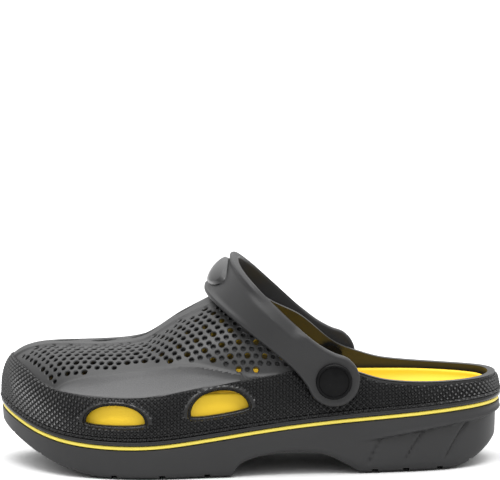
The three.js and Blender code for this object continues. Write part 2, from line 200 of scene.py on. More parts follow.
def cut_away(piece, cutter_bm):
    """Cuts the cutters' shapes out of a piece, which keeps its finish."""
    cutter = add_piece("cutter", cutter_bm)
    cut = piece.modifiers.new("cut", "BOOLEAN")
    cut.operation = "DIFFERENCE"
    cut.solver = "MANIFOLD"
    cut.object = cutter
    depsgraph = bpy.context.evaluated_depsgraph_get()
    mesh = bpy.data.meshes.new_from_object(piece.evaluated_get(depsgraph))
    finishes = [finish for finish in piece.data.materials if finish]
    piece.modifiers.clear()
    piece.data = mesh
    mesh.materials.clear()
    for finish in finishes:
        mesh.materials.append(finish)
    mesh.polygons.foreach_set("material_index", [0] * len(mesh.polygons))
    bpy.data.objects.remove(cutter)
    mesh.polygons.foreach_set("use_smooth", [True] * len(mesh.polygons))
    mesh.set_sharp_from_angle(angle=math.radians(30))


class Wire:
    """A shader socket that can be used in plain expressions."""

    def __init__(self, nodes, socket):
        self.nodes, self.socket = nodes, socket

    def math(self, operation, *others):
        return self.nodes.node("ShaderNodeMath", {"operation": operation}, self, *others)

    def __add__(self, other):
        return self.math("ADD", other)

    def __mul__(self, other):
        return self.math("MULTIPLY", other)

    def __sub__(self, other):
        return self.math("SUBTRACT", other)

    def __rsub__(self, other):
        return self.nodes.node("ShaderNodeMath", {"operation": "SUBTRACT"}, other, self)

    __radd__ = __add__
    __rmul__ = __mul__


class Finish:
    """One material's nodes: places on the object, noises, mixes and the shader itself."""

    def __init__(self, name):
        self.material = bpy.data.materials.new(name)
        self.material.use_nodes = True
        self.tree = self.material.node_tree
        self.shader = self.tree.nodes["Principled BSDF"]
        self.place = self.node("ShaderNodeTexCoord", {}, out="Object")

    def node(self, kind, settings, *values, out=0, **named):
        made = self.tree.nodes.new(kind)
        for key, value in settings.items():
            setattr(made, key, value)
        for key, value in enumerate(values):
            self.feed(made.inputs[key], value)
        for key, value in named.items():
            self.feed(made.inputs[key.replace("_", " ")], value)
        return Wire(self, made.outputs[out])

    def feed(self, socket, value):
        if isinstance(value, Wire):
            self.tree.links.new(value.socket, socket)
        else:
            socket.default_value = value

    def noise(self, size, detail=2.0):
        """Noise whose patches are about size metres across."""
        return self.node(
            "ShaderNodeTexNoise", {}, out="Fac", Vector=self.place, Scale=1 / size, Detail=detail)

    def blend(self, factor, first, second):
        """Mixes two colours."""
        mix = self.tree.nodes.new("ShaderNodeMix")
        mix.data_type = "RGBA"
        self.feed(mix.inputs[0], factor)
        self.feed(mix.inputs[6], first)
        self.feed(mix.inputs[7], second)
        return Wire(self, mix.outputs[2])

    def relief(self, height, distance, strength=1.0, normal=None):
        """Bumps the surface by a height, on top of another relief if one is given."""
        named = {"Height": height, "Distance": distance, "Strength": strength}
        if normal is not None:
            named["Normal"] = normal
        return self.node("ShaderNodeBump", {}, **named)

    def set(self, **named):
        """Feeds the shader's own sockets and returns the material."""
        for key, value in named.items():
            self.feed(self.shader.inputs[key.replace("_", " ")], value)
        return self.material


def moulded_foam(name, dark, light, gloss, grain, grain_depth, specular=0.28):
    """Charcoal moulded foam: fine mould grain, cloudy tone, and a little bloom."""
    foam = Finish(name)
    cloud = foam.noise(28 * MM, 3.0)
    speck = foam.noise(0.45 * MM, 2.0)
    tone = foam.blend(cloud * 0.55 + speck * 0.35, (*dark, 1), (*light, 1))
    pits = foam.noise(grain, 3.0)
    shine = gloss + (speck - 0.5) * 0.16 + (cloud - 0.5) * 0.1
    return foam.set(
        Base_Color=tone, Roughness=shine, Normal=foam.relief(pits, grain_depth, 0.8),
        Specular_IOR_Level=specular,
    )


stripe_line = profile([
    (-1, 33), (-0.85, 24), (-0.7, 19.5), (-0.5, 18),
    (-0.3, 19.5), (0.16, 28), (0.7, 34.5), (1, 37),
])
arch_line = profile([
    (-0.07, 0), (-0.05, 5.5), (-0.02, 8.8), (0.05, 11.8), (0.18, 13.5),
    (0.3, 10.9), (0.38, 5.2), (0.43, 0.6), (0.46, 0),
])
toe_lift, heel_lift, sole_draw = 19 * MM, 8 * MM, 6 * MM
stripe_half = 1.1 * MM
seam = 0.3 * MM


def tread_line(x):
    """Height of the tread's lower face: toe spring, arch and heel bevel."""
    front = np.maximum(0, (-0.54 * half_length - x) / (0.46 * half_length - sole_draw))
    back = np.maximum(0, (x - 0.8 * half_length) / (0.2 * half_length - sole_draw))
    return toe_lift * front**2 + heel_lift * back**2 + arch_line(x)


def inward(ring, share):
    """Ring points drawn towards the clog's long middle line."""
    x = ring[:, 0] * (1 - 0.25 * share)
    return np.c_[x, ring[:, 1] * (1 - share) + middle_y(x) * share]


sole_ring = paired_ring(230)
sole_x = sole_ring[:, 0]
sole_top = stripe_line(sole_x) - stripe_half - seam
sole_bottom = tread_line(sole_x)
in_arch = ease(arch_line(sole_x), 0, 9 * MM)
# Depth of the stepped heel block under its slanting top line, which fades out forwards.
step_line = profile([(0.38, 16.7), (0.53, 20.5), (0.81, 26.5), (0.94, 28.5), (1, 30.4)])(sole_x)
in_heel = ease(sole_x, 0.38 * half_length, 0.62 * half_length)
step_depth = 2.1 * MM * in_heel


def sole_row(share, draw):
    """One row of the sole's side: share 0 is the tread's edge, 1 the stripe's seam."""
    z = sole_bottom + share * (sole_top - sole_bottom)
    pull = draw * MM * (1 - 0.55 * in_arch)
    below = ease(step_line - z, -0.5 * MM, 0.6 * MM)
    lip = np.exp(-(((z - step_line - 1.2 * MM) / (1.1 * MM)) ** 2))
    nick = np.exp(-(((z - step_line) / (0.6 * MM)) ** 2))
    pull = pull + step_depth * (below - 0.3 * lip) + 0.5 * MM * in_heel * nick
    fall = np.clip((step_line - z) / (step_line + 1e-6), 0, 1)
    for back, front in ((0.464, 0.517), (0.613, 0.69), (0.783, 0.875)):
        # Each slanting groove leans forward going down and curves as it goes.
        groove_x = (front - (front - back) * (fall / 0.7) ** 0.8) * half_length
        near = np.exp(-(((sole_x - groove_x) / (1.0 * MM)) ** 2))
        pull = pull + 1.3 * MM * near * ease(fall, 0.0, 0.06) * (1 - ease(fall, 0.6, 0.85))
    return np.c_[inset(sole_ring, pull), z]


# The block's rows run from the middle of the tread out, up its side, and back in on top.
rows = []
for share in (0.999, 0.8, 0.6, 0.4, 0.2):
    row = inward(inset(sole_ring, sole_draw + 2 * MM), share)
    rows.append(np.c_[row, tread_line(row[:, 0])])
for k in range(7):
    turn = k / 6 * math.pi / 2
    share, draw = 0.16 * (1 - math.cos(turn)), 0.6 + 5.4 * (1 - math.sin(turn))
    rows.append(sole_row(share, draw))
for k in range(1, 31):
    share = 0.16 + 0.8 * k / 30
    rows.append(sole_row(share, 0.6 * (1 - share)))
rows.append(sole_row(0.985, 0.15))
rows.append(sole_row(1.0, 1.0))
for share in (0.2, 0.4, 0.6, 0.8, 0.999):
    row = inward(inset(sole_ring, 3 * MM), share)
    rows.append(np.c_[row, stripe_line(row[:, 0]) - stripe_half - seam])
sole_bm = rows_mesh(rows)
bmesh.ops.holes_fill(sole_bm, edges=[e for e in sole_bm.edges if e.is_boundary])
sole_foam = moulded_foam(
    "sole foam", (0.014, 0.014, 0.0145), (0.024, 0.024, 0.0245), 0.5, 0.5 * MM, 0.03 * MM)
outsole = add_piece("outsole_block", sole_bm, sole_foam)

# The tread's channels run across in zigzags and show as small notches at the edge.
tread_bm = bmesh.new()
notch_width, notch_depth, zigzag = 3.4 * MM, 2.3 * MM, 4 * MM
for share in (-0.94, -0.83, -0.7, -0.53, -0.34, -0.17, 0.5, 0.62, 0.75, 0.89):
    x = share * half_length
    part = bmesh.new()
    bmesh.ops.create_grid(part, x_segments=1, y_segments=24, size=0.5)
    for vert in part.verts:
        across = vert.co.y
        bend = zigzag * (abs((across * 6) % 1 - 0.5) - 0.5)
        y = across * 1.3 * ball_width + plan_middle
        vert.co = (x + vert.co.x * notch_width + bend, y, float(tread_line(x)) - 3 * MM)
    up = bmesh.ops.extrude_face_region(part, geom=part.faces)["geom"]
    raised = [v for v in up if isinstance(v, bmesh.types.BMVert)]
    bmesh.ops.translate(part, verts=raised, vec=(0, 0, 3 * MM + notch_depth))
    bmesh.ops.recalc_face_normals(part, faces=part.faces)
    mesh = bpy.data.meshes.new("channel")
    part.to_mesh(mesh)
    part.free()
    tread_bm.from_mesh(mesh)
    bpy.data.meshes.remove(mesh)
cut_away(outsole, tread_bm)
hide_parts("outsole")
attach(outsole, "shell")


# ------------ stripe
# A thin yellow rubber line laid in the groove between sole and upper, all the way
# round. It stands back a little, so that the grooves beside it read as dark lines.
stripe_ring = even_ring(520)
stripe_back, stripe_depth = 0.4 * MM, 3.6 * MM
rows = []
for depth, rise in ((1, -1), (0.5, -1), (0.12, -0.94), (0.03, -0.7), (0, -0.3), (0, 0.3),
                    (0.03, 0.7), (0.12, 0.94), (0.5, 1), (1, 1)):
    ring = inset(stripe_ring, stripe_back + depth * stripe_depth)
    rows.append(np.c_[ring, stripe_line(ring[:, 0]) + rise * stripe_half])
yellow = Finish("stripe rubber")
wear = yellow.noise(6 * MM, 4.0)
yellow_tone = yellow.blend(wear, (0.62, 0.50, 0.05, 1), (0.70, 0.58, 0.09, 1))
yellow.set(Base_Color=yellow_tone, Roughness=0.42 + wear * 0.15,
           Normal=yellow.relief(yellow.noise(0.4 * MM), 0.02 * MM, 0.5))
stripe = add_piece("yellow_stripe", rows_mesh(rows, wrap=True), yellow.material)
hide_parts("foxing_stripe")
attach(stripe, "shell")

# ------------ upper
# One moulded foam shell: toe box, raised ridge with two rows of eye vents, a hex mesh
# panel of pits and through holes on the outer side, a smooth leaf panel under it, and
# the heel collar. It stands on the sole's edge, above the stripe.
wall = 4.5 * MM
instep_top, rim_height, toe_top = 105, 51.5, 70.3
collar_front = -0.035 * half_length
top_line = profile([
    (-1, toe_top - 3), (-0.75, toe_top), (-0.55, toe_top + 1), (-0.42, toe_top + 5),
    (-0.27, instep_top - 16), (-0.035, instep_top), (0.15, instep_top + 6),
    (0.5, instep_top), (1, instep_top - 10),
])
fullness = profile([(-1, 3400), (-0.7, 2700), (-0.4, 2250), (0, 2100), (0.4, 1800), (1, 1600)])
rim_line = profile([
    (-0.035, instep_top), (0.07, instep_top - 14), (0.2, rim_height + 29),
    (0.33, rim_height + 13), (0.42, rim_height + 7), (0.55, rim_height + 2),
    (0.8, rim_height), (1.2, rim_height + 1),
])


def upper_foot(x):
    return stripe_line(x) + stripe_half + seam


def over_foot(ring, inset_by, foot, samples=170):
    """For each ring point, the line from the foot up over the foot to the ridge."""
    base = inset(ring, inset_by)
    held = np.clip(ring[:, 0], -0.42 * half_length, 0.45 * half_length)
    ridge_x = held + (ring[:, 0] - held) * 0.41
    turn = np.linspace(0, np.pi / 2, samples)[:, None]
    full = fullness(ring[:, 0])[None, :]
    rise = np.sin(turn) ** (2 / full)
    draw = 1 - np.cos(turn) ** (2 / full)
    low = foot(base[:, 0])
    return np.stack([
        base[:, 0] + draw * (ridge_x - base[:, 0]),
        base[:, 1] + draw * (middle_y(ridge_x) - base[:, 1]),
        low + rise * (top_line(ridge_x) - inset_by - low),
    ], axis=-1)


def run_up(lines):
    """Distance along each line from its foot."""
    step = np.linalg.norm(np.diff(lines, axis=0), axis=2)
    return np.vstack([np.zeros(lines.shape[1]), np.cumsum(step, axis=0)])


def at_run(lines, runs, wanted):
    """Points at the wanted distances up each line; wanted is rows by stations."""
    places = np.empty((*wanted.shape, 3))
    for j in range(lines.shape[1]):
        for axis in range(3):
            places[:, j, axis] = np.interp(wanted[:, j], runs[:, j], lines[:, j, axis])
    return places


def outward(grid):
    """The outward direction at each point of a grid of rows round the clog."""
    up = np.gradient(grid, axis=0)
    round_it = np.roll(grid, -1, axis=1) - np.roll(grid, 1, axis=1)
    square = np.cross(round_it, up)
    size = np.linalg.norm(square, axis=2, keepdims=True)
    return square / np.maximum(size, 1e-12)


# Edges of the upper's panels, measured along the clog.
mesh_ridge_y = profile([(-1, 6), (-0.92, 0.3), (-0.82, -3.6), (-0.51, -15), (-0.07, -18.2), (0.3, -19)])
leaf_top = profile([(-0.78, 48), (-0.72, 53.5), (-0.59, 58), (-0.36, 62.5), (-0.24, 64),
                    (-0.11, 61), (0.0, 58), (0.14, 58.5), (0.3, 60)])
rand_top = profile([(-1, 62), (-0.94, 59), (-0.82, 50.5), (-0.7, 47.3), (-0.57, 46.3), (-0.4, 46.8),
                    (-0.19, 51.5), (0, 56), (0.13, 59), (0.25, 64), (0.36, 74), (0.4, 90)])
inner_rand_top = profile([(-1, 62), (-0.94, 58), (-0.82, 50), (-0.7, 46.5), (-0.3, 46), (0, 48),
                          (0.15, 53), (0.25, 62), (0.36, 74), (0.4, 90)])
crease_y = profile([(-0.8, 35), (-0.74, 30), (-0.57, 22), (-0.14, 16.5), (0, 16)])


def panel_relief(p):
    """How far the skin stands out of its plain form, for points of shape (..., 3)."""
    x, y, z = p[..., 0], p[..., 1], p[..., 2]
    outer = y < middle_y(x)
    on_top = ease(z, 30 * MM, 44 * MM)
    # The mesh panel lies lower than the ridge beside it.
    in_mesh = ease(mesh_ridge_y(x) - y, -0.5 * MM, 0.9 * MM) * on_top
    in_mesh = in_mesh * ease(z - np.where(x > -0.78 * half_length, leaf_top(x), rand_top(x)),
                             -0.4 * MM, 0.8 * MM)
    relief = -0.9 * MM * in_mesh
    # The leaf panel is a long scoop with a crisp upper edge.
    low, high = rand_top(x), leaf_top(x)
    span = np.clip((z - low) / np.maximum(high - low, 1 * MM), 0, 1)
    in_leaf = outer * ease(x, -0.78 * half_length, -0.6 * half_length)
    in_leaf = in_leaf * (1 - ease(x, -0.2 * half_length, 0.06 * half_length))
    scoop = np.sin(np.pi * span) ** 0.8 * 1.5 + 1.0 * np.exp(-(((span - 0.72) / 0.18) ** 2)) * ease(
        x, -0.34 * half_length, -0.12 * half_length)
    relief = relief - scoop * MM * in_leaf * ease(z - low, 0, 1.5 * MM) * ease(high - z, 0, 4 * MM)
    # The inner side's panel steps down from the ridge along a long crease.
    crease = ease(y - crease_y(x), -1.2 * MM, 2.2 * MM) * ease(x, -0.86 * half_length, -0.6 * half_length)
    relief = relief - 1.1 * MM * crease * on_top * (1 - ease(x, -0.1 * half_length, 0.22 * half_length))
    # The knurled rand is its own band, so the skin behind it lies lower.
    rand = np.where(outer, rand_top(x), inner_rand_top(x))
    behind = 1 - ease(z - rand, -0.9 * MM, -0.1 * MM)
    above_foot = ease(z - upper_foot(x), 2.6 * MM, 3.2 * MM)
    relief = relief - 1.0 * MM * behind * above_foot
    return relief


def rim_runs(lines, runs, ring):
    """How far up each station's line runs: to the ridge, or to the collar's rim."""
    reach = runs[-1].copy()
    for j, x in enumerate(ring[:, 0]):
        rim = np.interp(rim_line(x), lines[:, j, 2], runs[:, j])
        if x > collar_front and rim < reach[j] - 6 * MM:
            reach[j] = rim
    return reach


upper_ring = paired_ring(265)
outer_lines = over_foot(upper_ring, 0.0, upper_foot)
outer_runs = run_up(outer_lines)
outer_reach = rim_runs(outer_lines, outer_runs, upper_ring)
skin_rows = 92
shares = np.linspace(0, 1, skin_rows + 1)[:, None]
skin = at_run(outer_lines, outer_runs, shares * outer_reach)
skin_out = outward(skin)
skin = skin + skin_out * (panel_relief(skin) * ease(1 - shares, 0.0, 0.02))[..., None]

inner_lines = over_foot(upper_ring, wall, upper_foot)
inner_runs = run_up(inner_lines)
inner_reach = rim_runs(inner_lines, inner_runs, upper_ring)
lining = at_run(inner_lines, inner_runs, np.linspace(0, 1, 29)[:, None] * inner_reach)

skin_bm = rows_mesh(skin)
lining_bm = rows_mesh(lining[::-1])


def join_in(bm, other):
    """Adds a second bmesh to the first and frees it."""
    mesh = bpy.data.meshes.new("joined")
    other.to_mesh(mesh)
    other.free()
    bm.from_mesh(mesh)
    bpy.data.meshes.remove(mesh)


join_in(skin_bm, lining_bm)


def boundary_loops(bm):
    """The open edge loops of a bmesh, lowest first."""
    left = {e for e in bm.edges if e.is_boundary}
    loops = []
    while left:
        loop, queue = [], [left.pop()]
        while queue:
            edge = queue.pop()
            loop.append(edge)
            for vert in edge.verts:
                for other in vert.link_edges:
                    if other in left:
                        left.remove(other)
                        queue.append(other)
        loops.append(loop)
    return sorted(loops, key=lambda loop: sum(v.co.z for e in loop for v in e.verts) / len(loop))


loops = boundary_loops(skin_bm)
bmesh.ops.bridge_loops(skin_bm, edges=loops[0] + loops[1])
rims = loops[2] + loops[3]
bmesh.ops.bridge_loops(skin_bm, edges=rims)
bmesh.ops.bevel(skin_bm, geom=rims, offset=1.7 * MM, segments=4, profile=0.5, affect="EDGES",
                material=-1, clamp_overlap=True)
bmesh.ops.recalc_face_normals(skin_bm, faces=skin_bm.faces)
skin_tree = BVHTree.FromBMesh(skin_bm)
upper = add_piece("upper_shell_skin", skin_bm)

# The knurled rand: rows from the stripe up. First a plain lip, then a roped bead, then
# rows of small diamonds. It runs up to the rim at the heel.
band_ring = even_ring(1080)
band_lines = over_foot(band_ring, 0.0, upper_foot)
band_runs = run_up(band_lines)
band_x, band_out = band_ring[:, 0], band_ring[:, 1] < middle_y(band_ring[:, 0])
band_edge = np.where(band_out, rand_top(band_x), inner_rand_top(band_x))
under_rim = np.minimum(band_edge, rim_line(band_x) - 1.5 * MM)
band_edge = np.where(band_x > 0.28 * half_length, under_rim, band_edge)
band_height = np.array([
    np.interp(edge, band_lines[:, j, 2], band_runs[:, j]) for j, edge in enumerate(band_edge)
])
around = np.linspace(0, 1, len(band_ring), endpoint=False)[None, :]
diamond_count, diamond_high, rope_count = 180, 3.5 * MM, 240
side_vents = [(-0.53, 30.5, 33.6, 11.0, 0), (-0.12, 36.5, 33.0, 13.0, 8)]


def vent_reach(x, z, vent):
    """1 on a half-moon side vent's outline, less inside it and more outside."""
    share, low, long, high, tilt = vent
    turn = math.radians(tilt)
    u, v = x - share * half_length, z - (low * MM)
    u, v = u * math.cos(turn) + v * math.sin(turn), v * math.cos(turn) - u * math.sin(turn)
    v = v - 1.5 * MM
    u = u / (long / 2 * MM)
    v = np.where(v > 0, v / ((high - 1.5) * MM), v / (1.5 * MM))
    return (np.abs(u) ** 2.2 + np.abs(v) ** 2.0) ** 0.5


def knurl(rise, place):
    """How far the rand stands out, by height over its foot and place round the clog."""
    lip = 0.85 * MM * np.sin(np.pi * np.clip(rise / (2.5 * MM), 0, 1)) ** 0.5
    bead_up = (rise - 2.6 * MM) / (2.0 * MM)
    rope = 0.7 + 0.3 * np.sign(np.sin(2 * np.pi * (place * rope_count - bead_up * 0.35)))
    bead = 1.6 * MM * np.sqrt(np.clip(1 - (2 * bead_up - 1) ** 2, 0, 1)) * rope
    up = (rise - 5.0 * MM) / diamond_high
    a, b = place * diamond_count + up, place * diamond_count - up
    edge = np.maximum(np.abs(2 * (a % 1) - 1), np.abs(2 * (b % 1) - 1))
    diamonds = 1.5 * MM * np.clip((1 - edge) / 0.72, 0, 1) - 0.6 * MM
    return np.where(rise < 2.55 * MM, lip - 0.1 * MM, np.where(rise < 4.7 * MM, bead - 0.35 * MM, diamonds))


rises = np.r_[0.05, 0.35, 0.9, 1.6, 2.2, 2.5, 2.6, 2.85, 3.2, 3.6, 4.0, 4.35, 4.6,
              np.arange(5.0, 40, 3.5 / 6)] * MM
rises = rises[rises < band_height.max() + 1 * MM]
runs = np.minimum(rises[:, None], band_height[None, :])
band = at_run(band_lines, band_runs, runs)
band_square = outward(at_run(band_lines, band_runs, rises[:, None] + 0 * runs))
stand = knurl(runs, around)
for vent in side_vents:
    near = vent_reach(band[..., 0], band[..., 2], vent)
    lip = (1 - ease(near, 1.2, 1.34)) * (band[..., 1] < middle_y(band[..., 0]))
    stand = stand * (1 - lip) + lip * 0.8 * MM
near_top = ease(band_height[None, :] - runs, 0.0, 0.5 * MM)
stand = stand * near_top - 0.25 * MM * (1 - near_top)
front = band + band_square * stand[..., None]
back = band - band_square * 2.2 * MM
band_bm = rows_mesh(list(front) + list(back[::-6]) + [back[0]], wrap=True)
bmesh.ops.recalc_face_normals(band_bm, faces=band_bm.faces)
rand = add_piece("knurled_rand", band_bm)


def oval_ring(long, wide, count=40, power=2.0):
    """An oval round the origin, in plan."""
    turn = np.linspace(0, 2 * np.pi, count, endpoint=False)
    c, d = np.cos(turn), np.sin(turn)
    return np.c_[np.sign(c) * np.abs(c) ** (2 / power) * long / 2,
                 np.sign(d) * np.abs(d) ** (2 / power) * wide / 2]


def lipped_cutter(outline, onto, along, lip, depth, rise=2.5 * MM):
    """A cutter with a rounded lip where it meets the skin.

    outline is a ring in plan, onto turns a plan point into a point over the skin, and
    along is the way in."""
    grown = np.roll(outline, -1, axis=0) - np.roll(outline, 1, axis=0)
    grown /= np.linalg.norm(grown, axis=1)[:, None]
    grown = np.c_[grown[:, 1], -grown[:, 0]]
    if (grown * outline).sum() < 0:
        grown = -grown
    steps = [(lip + 1.5 * MM, rise)]
    for k in range(7):
        turn = math.radians(100 + 80 * k / 6)
        steps.append((lip + lip * math.cos(turn), -lip + lip * math.sin(turn)))
    steps.append((0, -depth))
    rows = []
    for out, up in steps:
        ring = []
        for point in outline + grown * out:
            start = onto(point)
            hit = skin_tree.ray_cast(start, along, 0.2)[0] or start
            ring.append(np.array(hit) - np.array(along) * up)
        rows.append(np.array(ring))
    bm = rows_mesh(rows)
    for loop in boundary_loops(bm):
        bmesh.ops.holes_fill(bm, edges=loop)
    bmesh.ops.recalc_face_normals(bm, faces=bm.faces)
    return bm


# Two rows of eye vents on the ridge, cut straight down.
vents = bmesh.new()
for share, y, long, wide, turn in (
    (-0.265, 2.5, 14, 9, 0), (-0.425, 2.5, 15.5, 7.9, 0), (-0.585, 5, 14.3, 7, 4),
    (-0.735, 10, 14.3, 7.9, 12), (-0.865, 20, 11.3, 7.3, 20),
    (-0.27, 33, 12, 7, -16), (-0.42, 33, 10.7, 5.8, 0), (-0.56, 34, 12.5, 6.7, 4), (-0.7, 39, 10.7, 5, 14),
):
    angle = math.radians(turn)
    oval = oval_ring(long * MM, wide * MM, power=1.85)
    oval = oval @ np.array([[math.cos(angle), math.sin(angle)], [-math.sin(angle), math.cos(angle)]])
    centre = (share * half_length, y * MM + plan_middle)

    def over(point, centre=centre):
        return Vector((point[0] + centre[0], point[1] + centre[1], 0.2))

    join_in(vents, lipped_cutter(oval, over, Vector((0, 0, -1)), 1.1 * MM, 16 * MM))
cut_away(upper, vents)

# Two half-moon vents low on the outer side, through the rand and the wall.
for piece in (upper, rand):
    vents = bmesh.new()
    for share, low, long, high, tilt in side_vents:
        turn = np.linspace(0, 2 * np.pi, 56, endpoint=False)
        u = np.sign(np.cos(turn)) * np.abs(np.cos(turn)) ** (2 / 2.2) * long / 2 * MM
        v = np.sign(np.sin(turn)) * np.abs(np.sin(turn)) * np.where(np.sin(turn) > 0, high - 1.5, 1.5) * MM
        v = v + 1.5 * MM
        angle = math.radians(tilt)
        moon = np.c_[u * math.cos(angle) - v * math.sin(angle), u * math.sin(angle) + v * math.cos(angle)]
        middle_up = high / 2 * MM
        moon = moon - (0, middle_up)

        def beside(point, share=share, low=low, up=middle_up):
            return Vector((point[0] + share * half_length, -0.12, point[1] + low * MM + up))

        join_in(vents, lipped_cutter(moon, beside, Vector((0, 1, 0)), 1.8 * MM, 13 * MM, rise=7 * MM))
    cut_away(piece, vents)

# The hex panel: small round pits, and every second one of every second row goes right
# through. Rows run along the clog at even steps down the skin from the ridge.
hole_pitch = 4.9 * MM


def skin_below(x, slant):
    """Where the skin lies at x, looking out from inside the toe box at a slant."""
    ray = Vector((0, -math.sin(slant), math.cos(slant)))
    start = Vector((x, float(middle_y(x)) * 0.4, 0.03)) + ray * 0.15
    hit, square, _, _ = skin_tree.ray_cast(start, -ray, 0.2)
    return hit, square


def pit_cutter(place, square, wide, depth, sides):
    """A round pit or hole with a small chamfer at its mouth."""
    bm = bmesh.new()
    bmesh.ops.create_circle(bm, cap_ends=True, segments=sides, radius=wide / 2 + 0.75 * MM)
    face = bm.faces[:]
    for grow, sink in ((-0.95 * MM, 0.95 * MM), (0, depth - 0.1 * MM)):
        made = bmesh.ops.extrude_face_region(bm, geom=face)["geom"]
        if grow == 0:
            bmesh.ops.delete(bm, geom=face, context="FACES_ONLY")
        face = [f for f in made if isinstance(f, bmesh.types.BMFace)]
        verts = [v for v in made if isinstance(v, bmesh.types.BMVert)]
        for vert in verts:
            flat = Vector((vert.co.x, vert.co.y, 0))
            vert.co = Vector((*(flat * (1 + grow / flat.length)).xy, vert.co.z - sink))
    bmesh.ops.recalc_face_normals(bm, faces=bm.faces)
    turn = square.to_track_quat("Z", "Y").to_matrix().to_4x4()
    bmesh.ops.transform(bm, verts=bm.verts, matrix=Matrix.Translation(place + square * 0.45 * MM) @ turn)
    return bm


def slants_down(x, runs):
    """The slants at which the wanted runs down the skin from the ridge are met."""
    down, last, track = 0.0, None, []
    for slant in np.linspace(-0.2, 1.6, 120):
        hit, _ = skin_below(x, slant)
        if hit is None:
            continue
        if last is not None and hit.y < float(mesh_ridge_y(x)):
            down += (hit - last).length
        track.append((down, slant))
        last = hit
    track = np.array(track)
    return np.interp(runs, track[:, 0], track[:, 1], right=9)


pits = bmesh.new()
row_runs = 2.6 * MM + np.arange(17) * hole_pitch * 0.82
collar_slants = slants_down(collar_front - 3 * MM, row_runs)
columns = np.arange(-0.925 * half_length, 0.2 * half_length, hole_pitch / 2)
for column, x in enumerate(columns):
    slants = slants_down(x, row_runs) if x < collar_front - 3 * MM else collar_slants
    for row, slant in enumerate(slants):
        if (row + column) % 2 or slant > 1.6:
            continue
        hit, square = skin_below(x, slant)
        if hit is None or square.y > 0.2 or (x > collar_front and hit.z > rim_line(x) - 4 * MM):
            continue
        low = max(float(leaf_top(x)) if x > -0.78 * half_length else 0, float(rand_top(x)) + 1.5 * MM)
        if hit.z < low + 2.2 * MM or hit.y > float(mesh_ridge_y(x)) - 2.0 * MM:
            continue
        through = row % 2 == 0 and (column // 2 + row // 2) % 2 == 0
        width, depth = (3.7 * MM, 9 * MM) if through else (3.0 * MM, 2.0 * MM)
        join_in(pits, pit_cutter(hit, square, width, depth, 12 if through else 10))
cut_away(upper, pits)


def mark(piece, name, measure):
    """Stores a number at each point of a piece, for its material to read."""
    mesh = piece.data
    places = np.empty(len(mesh.vertices) * 3, np.float32)
    mesh.vertices.foreach_get("co", places)
    layer = mesh.attributes.new(name, "FLOAT", "POINT")
    layer.data.foreach_set("value", measure(places.reshape(-1, 3)).astype(np.float32))


def leaf_share(p):
    """1 on the leaf panel, fading at its edges."""
    x, y, z = p[:, 0], p[:, 1], p[:, 2]
    inside = ease(z, rand_top(x) - 0.5 * MM, rand_top(x) + 0.5 * MM)
    inside = inside * (1 - ease(z, leaf_top(x) - 3 * MM, leaf_top(x)))
    inside = inside * (1 - ease(x, -0.24 * half_length, 0.02 * half_length))
    return inside * (y < middle_y(x)) * ease(x, -0.8 * half_length, -0.74 * half_length)


def ridge_share(p):
    """1 on the ridge's leathery grained strip."""
    x, y = p[:, 0], p[:, 1]
    return ease(y, mesh_ridge_y(x) + 1 * MM, mesh_ridge_y(x) + 14 * MM) * (
        1 - ease(y, crease_y(x) - 7 * MM, crease_y(x) + 1 * MM)) * (p[:, 2] > 0.05)


mark(upper, "leaf", leaf_share)
mark(upper, "ridge", ridge_share)
upper_foam = Finish("upper foam")
leaf = upper_foam.node("ShaderNodeAttribute", {"attribute_name": "leaf"}, out="Fac")
ridge = upper_foam.node("ShaderNodeAttribute", {"attribute_name": "ridge"}, out="Fac")
cloud = upper_foam.noise(30 * MM, 3.0)
speck = upper_foam.noise(0.55 * MM, 2.0)
hide = upper_foam.noise(1.7 * MM, 2.5)
plain = upper_foam.blend(cloud * 0.6 + speck * 0.3, (0.009, 0.009, 0.0093, 1), (0.018, 0.018, 0.0184, 1))
frosted = upper_foam.blend(speck, (0.045, 0.045, 0.046, 1), (0.10, 0.10, 0.101, 1))
grain = upper_foam.relief(speck, 0.05 * MM, 0.5)
grain = upper_foam.relief(speck * leaf, 0.16 * MM, 0.9, grain)
grain = upper_foam.relief(hide * ridge, 0.7 * MM, 1.0, grain)
upper.data.materials.append(upper_foam.set(
    Base_Color=upper_foam.blend(leaf * 0.85, plain, frosted),
    Roughness=0.42 + leaf * 0.2 + ridge * 0.05 + (speck - 0.5) * 0.14 + (cloud - 0.5) * 0.12,
    Normal=grain, Specular_IOR_Level=0.4))
rand_foam = moulded_foam("rand foam", (0.004, 0.004, 0.0042), (0.008, 0.008, 0.0083), 0.27, 0.5 * MM,
                         0.02 * MM, specular=0.36)
rand.data.materials.append(rand_foam)
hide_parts("upper_shell")
for piece in (upper, rand):
    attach(piece, "shell")

# ------------ insole
# A cupped footbed of soft yellow foam, pressed in from above. Small massage bumps cover
# its floor in slanting rows, and its rolled edge shows under the collar.
insole_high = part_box("insole")[1]
insole_gap, insole_wall, insole_thick = wall + 0.9 * MM, 3 * MM, 6 * MM
cup_lean = 2 * MM


def insole_under(x):
    return stripe_line(x) - stripe_half


def insole_floor(x):
    return insole_under(x) + insole_thick


def cup_edge(x):
    under_rim = rim_line(np.maximum(x, collar_front)) - 3.2 * MM
    # It stands highest behind the side vents, and lower at the toe and under the collar.
    height = 19 * MM + 7 * MM * ease(x, -0.8 * half_length, -0.62 * half_length) * (
        1 - ease(x, 0.02 * half_length, 0.25 * half_length))
    return np.minimum(np.minimum(stripe_line(x) + height, under_rim), insole_high.z + 0.6 * MM)


bed_ring = even_ring(620)
bumps_pitch = 6.4 * MM


